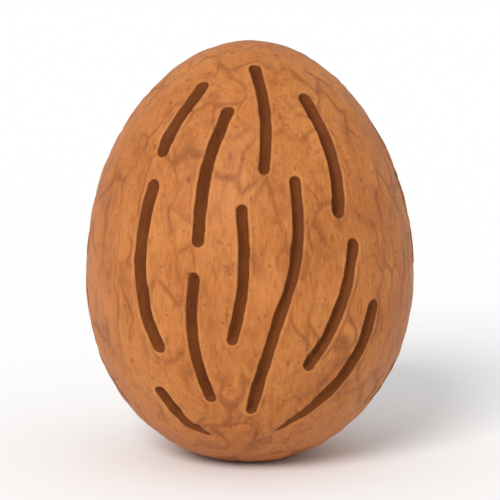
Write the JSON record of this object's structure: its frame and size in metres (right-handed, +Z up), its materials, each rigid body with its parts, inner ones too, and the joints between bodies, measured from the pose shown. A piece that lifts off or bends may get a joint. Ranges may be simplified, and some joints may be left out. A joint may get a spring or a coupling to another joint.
{
  "type": "nutmeg",
  "caption": "Whole dried nutmeg kernel, an egg-shaped brown seed with long dark furrows from end to end, standing on a small flat at its broad end.",
  "frame": {"origin": "middle of the small flat at the broad end that the kernel stands on", "axes": "+Z up the kernel's long axis towards its narrow end, +X to the right and -Y towards the viewer of its front"},
  "size_m": [0.0196, 0.019, 0.025],
  "materials": {
    "kernel": "satin"
  },
  "bodies": {
    "root": {"nutmeg": "kernel"}
  },
  "joints": []
}
